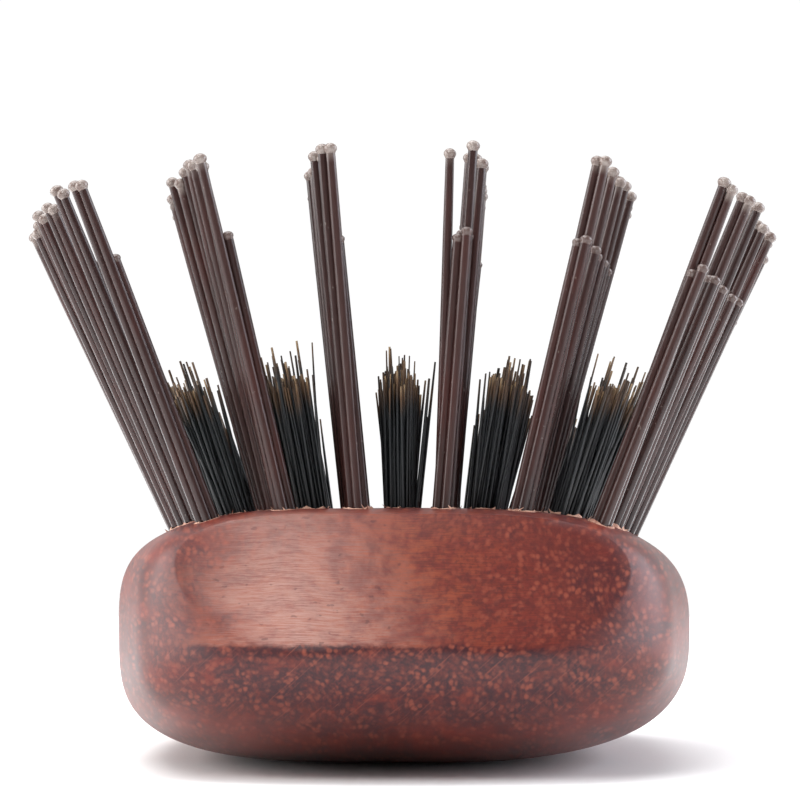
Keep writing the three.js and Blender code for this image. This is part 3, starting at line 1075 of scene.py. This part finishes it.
class BRUSH_OT_rims(bpy.types.Operator):
    """Make the torn rims of the holes."""

    bl_idname = "brush.rims"
    bl_label = "Torn Rims"

    def execute(self, context):
        settings = context.scene.brush_wood
        holes = all_holes(settings)
        piece = new_object("hole_rim_burrs", rim_burrs(holes, settings))
        piece.data.materials.append(shared_material(raw_wood))
        finished(piece, "wood")
        return {"FINISHED"}


def tree_inputs(settings, **materials):
    """The inputs of a tree: every setting by its name, and the materials."""
    inputs = {settings.bl_rna.properties[key].name: getattr(settings, key)
              for key in settings.__annotations__}
    return {**inputs, **materials}


def grow_rows(fibre, slot, rows, stagger, tree, values, facing):
    """Grows the tufts of all rows, a piece for each section. Facing gives the outward side
    of the row at a place."""
    seed = values["Seed"]
    share = RANK_COUNT // len(SECTIONS)
    for row, row_place in enumerate(rows, 1):
        frames = row_frames(row_place, stagger)
        for number, section in enumerate(SECTIONS):
            name = f"{fibre}_tufts_{row}_{section}"
            points = tuft_points(name, frames[number * share:(number + 1) * share],
                                 facing(row_place), STRAYS.get(name, {}))
            values["Seed"] = seed + 100 * row + 20 * number
            finished(grown_piece(name, points, tree, values), slot,
                     f"{fibre}_row_{row}_{section}")


# Tufts with a leg out of line: {piece: {tuft: lean across, turn of the legs}}.
STRAYS = {"nylon_tufts_4_front": {0: {"stray": -0.034, "turn": 0.2}}}


class BRUSH_OT_nylon(bpy.types.Operator):
    """Grow the nylon tufts, a piece for each section of a row."""

    bl_idname = "brush.nylon"
    bl_label = "Nylon Tufts"

    def execute(self, context):
        values = tree_inputs(context.scene.brush_nylon, Nylon=shared_material(nylon_brown),
                             Tip=shared_material(clear_tip))
        grow_rows("nylon", "nylon", NYLON_ROWS, 0, nylon_tree(values), values,
                  facing=lambda place: math.copysign(1, place))
        return {"FINISHED"}


class BRUSH_OT_boar(bpy.types.Operator):
    """Grow the boar tufts, a piece for each section of a row."""

    bl_idname = "brush.boar"
    bl_label = "Boar Tufts"

    def execute(self, context):
        values = tree_inputs(context.scene.brush_boar, Bristle=shared_material(boar_hair))
        grow_rows("boar", "boar_bristle", BOAR_ROWS, BOAR_STAGGER, boar_tree(values), values,
                  facing=lambda place: 1)
        return {"FINISHED"}


def add_softbox(name, target, offset, size, strength, shade=(1.0, 1.0, 1.0)):
    """A square area light at an offset from its target, which it faces. Strength is its
    radiance, so the energy grows with its area."""
    light = bpy.data.lights.new(name, "AREA")
    light.shape = "SQUARE"
    light.size = size
    light.color = shade
    light.energy = strength * size * size * math.pi
    lamp = new_object(name, light)
    lamp.location = target + Vector(offset)
    lamp.rotation_euler = (target - lamp.location).to_track_quat("-Z", "Y").to_euler()


class BRUSH_OT_stage(bpy.types.Operator):
    """Make the pale floor, the soft light and the camera."""

    bl_idname = "brush.stage"
    bl_label = "Studio"

    def execute(self, context):
        scene = context.scene
        s = scene.brush_studio
        shape = bmesh.new()
        bmesh.ops.create_circle(shape, cap_ends=True, segments=96, radius=FLOOR_RADIUS)
        floor = new_object("pale_floor", mesh_from(shape, "pale_floor"))
        paint = Shader("Pale floor")
        grey = paint.noise(paint.millimetres(), (0.02, 0.02, 0.02))
        floor.data.materials.append(paint.finish(
            Base_Color=paint.mix(grey, (0.93, 0.93, 0.93), (0.95, 0.95, 0.95)), Roughness=0.9))

        world = bpy.data.worlds.new("Studio room")
        world.use_nodes = True
        scene.world = world
        world.node_tree.nodes.clear()
        room = Tree(world.node_tree)
        direction = room.node("ShaderNodeTexCoord").output("Generated")
        behind_camera = 1 - room.node("ShaderNodeSeparateXYZ", {0: direction}).output("Y")
        dimmed = 1 - behind_camera.between(0.9, 1.7) * s.front_shade
        seen = room.node("ShaderNodeLightPath").output("Is Camera Ray")
        strength = (dimmed * s.world).highest(seen * 1.02)
        light = room.node("ShaderNodeBackground", {"Color": (1, 1, 1, 1),
                                                         "Strength": strength})
        room.node("ShaderNodeOutputWorld", {"Surface": light})

        head = Vector((0, (NOSE_Y + NOSE_RUN) * MM, 0.02))
        add_softbox("key_softbox", head, (-0.3, -0.62, 0.6), 0.42, s.key)
        add_softbox("top_softbox", head, (-0.15, 0.1, 0.85), 0.8, s.fill)
        add_softbox("left_softbox", head, (-0.8, 0.05, 0.14), 0.75, s.side)
        add_softbox("right_softbox", head, (0.8, 0.12, 0.22), 0.75, s.side, (0.86, 0.9, 1.0))

        camera = bpy.data.cameras.new("camera")
        camera.lens = s.lens
        camera.sensor_width = 36
        camera.clip_start = 0.01
        viewer = new_object("camera", camera)
        viewer.location = (-s.aside, (NOSE_Y + FIRST_RANK) * MM - s.camera_gap, s.eye_height)
        viewer.rotation_euler = (math.pi / 2 + s.pitch, 0, 0)
        scene.camera = viewer
        scene.view_settings.view_transform = "Standard"
        return {"FINISHED"}


class BRUSH_PT_panel(bpy.types.Panel):
    """Lists the pieces of the brush."""

    bl_idname = "BRUSH_PT_panel"
    bl_label = "Hair Brush"
    bl_space_type = "VIEW_3D"
    bl_region_type = "UI"
    bl_category = "Brush"

    def draw(self, context):
        for operator in OPERATORS:
            self.layout.operator(operator.bl_idname)
        for name in SETTINGS:
            box = self.layout.box()
            group = getattr(context.scene, name)
            for key in group.__annotations__:
                box.prop(group, key)


OPERATORS = (BRUSH_OT_wood, BRUSH_OT_rims, BRUSH_OT_nylon, BRUSH_OT_boar, BRUSH_OT_stage)
SETTINGS = {"brush_wood": WoodSettings, "brush_nylon": NylonSettings, "brush_boar": BoarSettings,
            "brush_finish": FinishSettings, "brush_studio": StudioSettings}
CLASSES = (*SETTINGS.values(), *OPERATORS, BRUSH_PT_panel)


def register():
    for made in CLASSES:
        bpy.utils.register_class(made)
    for name, group in SETTINGS.items():
        setattr(bpy.types.Scene, name, PointerProperty(type=group))


def unregister():
    for name in SETTINGS:
        delattr(bpy.types.Scene, name)
    for made in reversed(CLASSES):
        bpy.utils.unregister_class(made)


def main():
    """Builds the brush and its studio."""
    register()
    for operator in OPERATORS:
        family, action = operator.bl_idname.split(".")
        getattr(getattr(bpy.ops, family), action)()
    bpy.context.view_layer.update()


if __name__ == "__main__":
    main()
